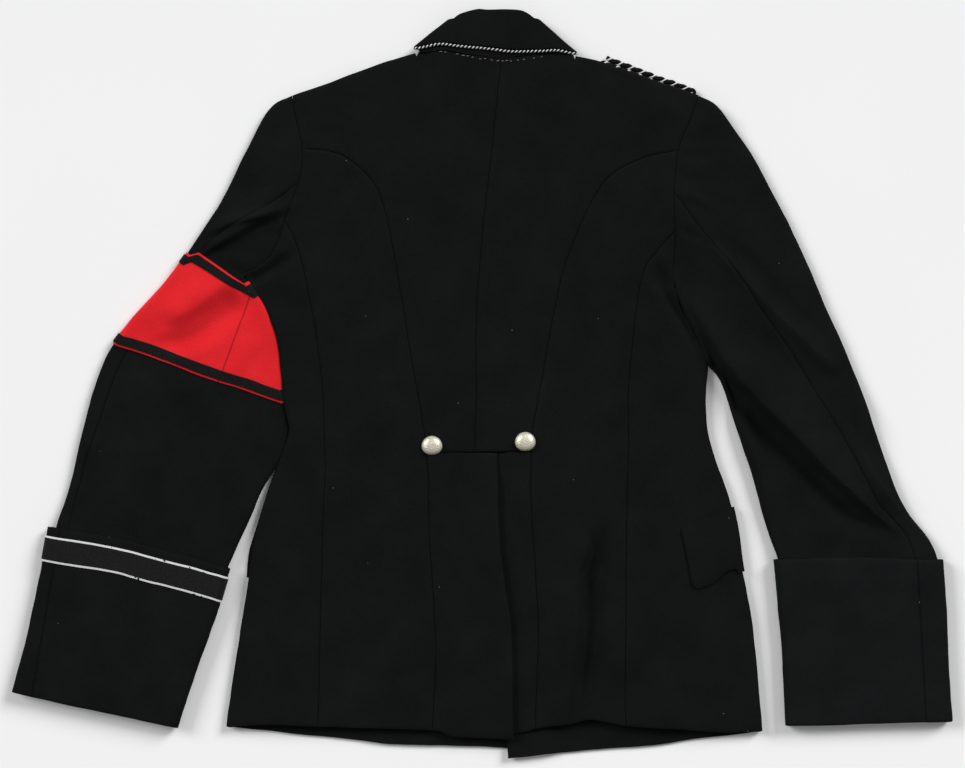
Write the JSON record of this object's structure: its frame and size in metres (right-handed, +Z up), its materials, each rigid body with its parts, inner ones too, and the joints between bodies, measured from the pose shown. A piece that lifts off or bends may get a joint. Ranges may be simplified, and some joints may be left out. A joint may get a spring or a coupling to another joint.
{
  "type": "military tunic",
  "caption": "Dark wool service tunic laid flat, face down, with turned-back cuffs, a red armband, a banded cuff and silver buttons at the back waist.",
  "frame": {"origin": "middle of the outer box's bottom face, on the surface that the tunic lies on", "axes": "+X to the right as seen from above, along both sleeves; +Y towards the collar; +Z up, out of the tunic's back"},
  "size_m": [0.97, 0.7724, 0.0174],
  "materials": {
    "wool": "black wool cloth with a short nap",
    "red_wool": "red wool cloth",
    "tape": "black woven tape",
    "ribbon": "black woven ribbon with two pale edge lines",
    "cord": "twisted cord of white and black strands",
    "button": "pebbled silver-coloured metal"
  },
  "bodies": {
    "root": {"armband": "red_wool", "armband_tape_top": "tape", "armband_tape_bottom": "tape", "back_left": "wool", "back_right": "wool", "side_back_left": "wool", "side_back_right": "wool", "skirt_left": "wool", "skirt_right": "wool", "front_left": "wool", "front_right": "wool", "top_sleeve_left": "wool", "top_sleeve_right": "wool", "under_sleeve_left": "wool", "under_sleeve_right": "wool", "cuff_left": "wool", "cuff_right": "wool", "cuff_ribbon": "ribbon", "pocket_flap_left": "wool", "pocket_flap_right": "wool", "collar_fall": "wool", "collar_stand": "wool", "collar_piping": "cord", "shoulder_cord": "cord", "back_button_left": "button", "back_button_right": "button", "front_button_1": "button", "front_button_2": "button", "front_button_3": "button", "front_button_4": "button"}
  },
  "joints": []
}
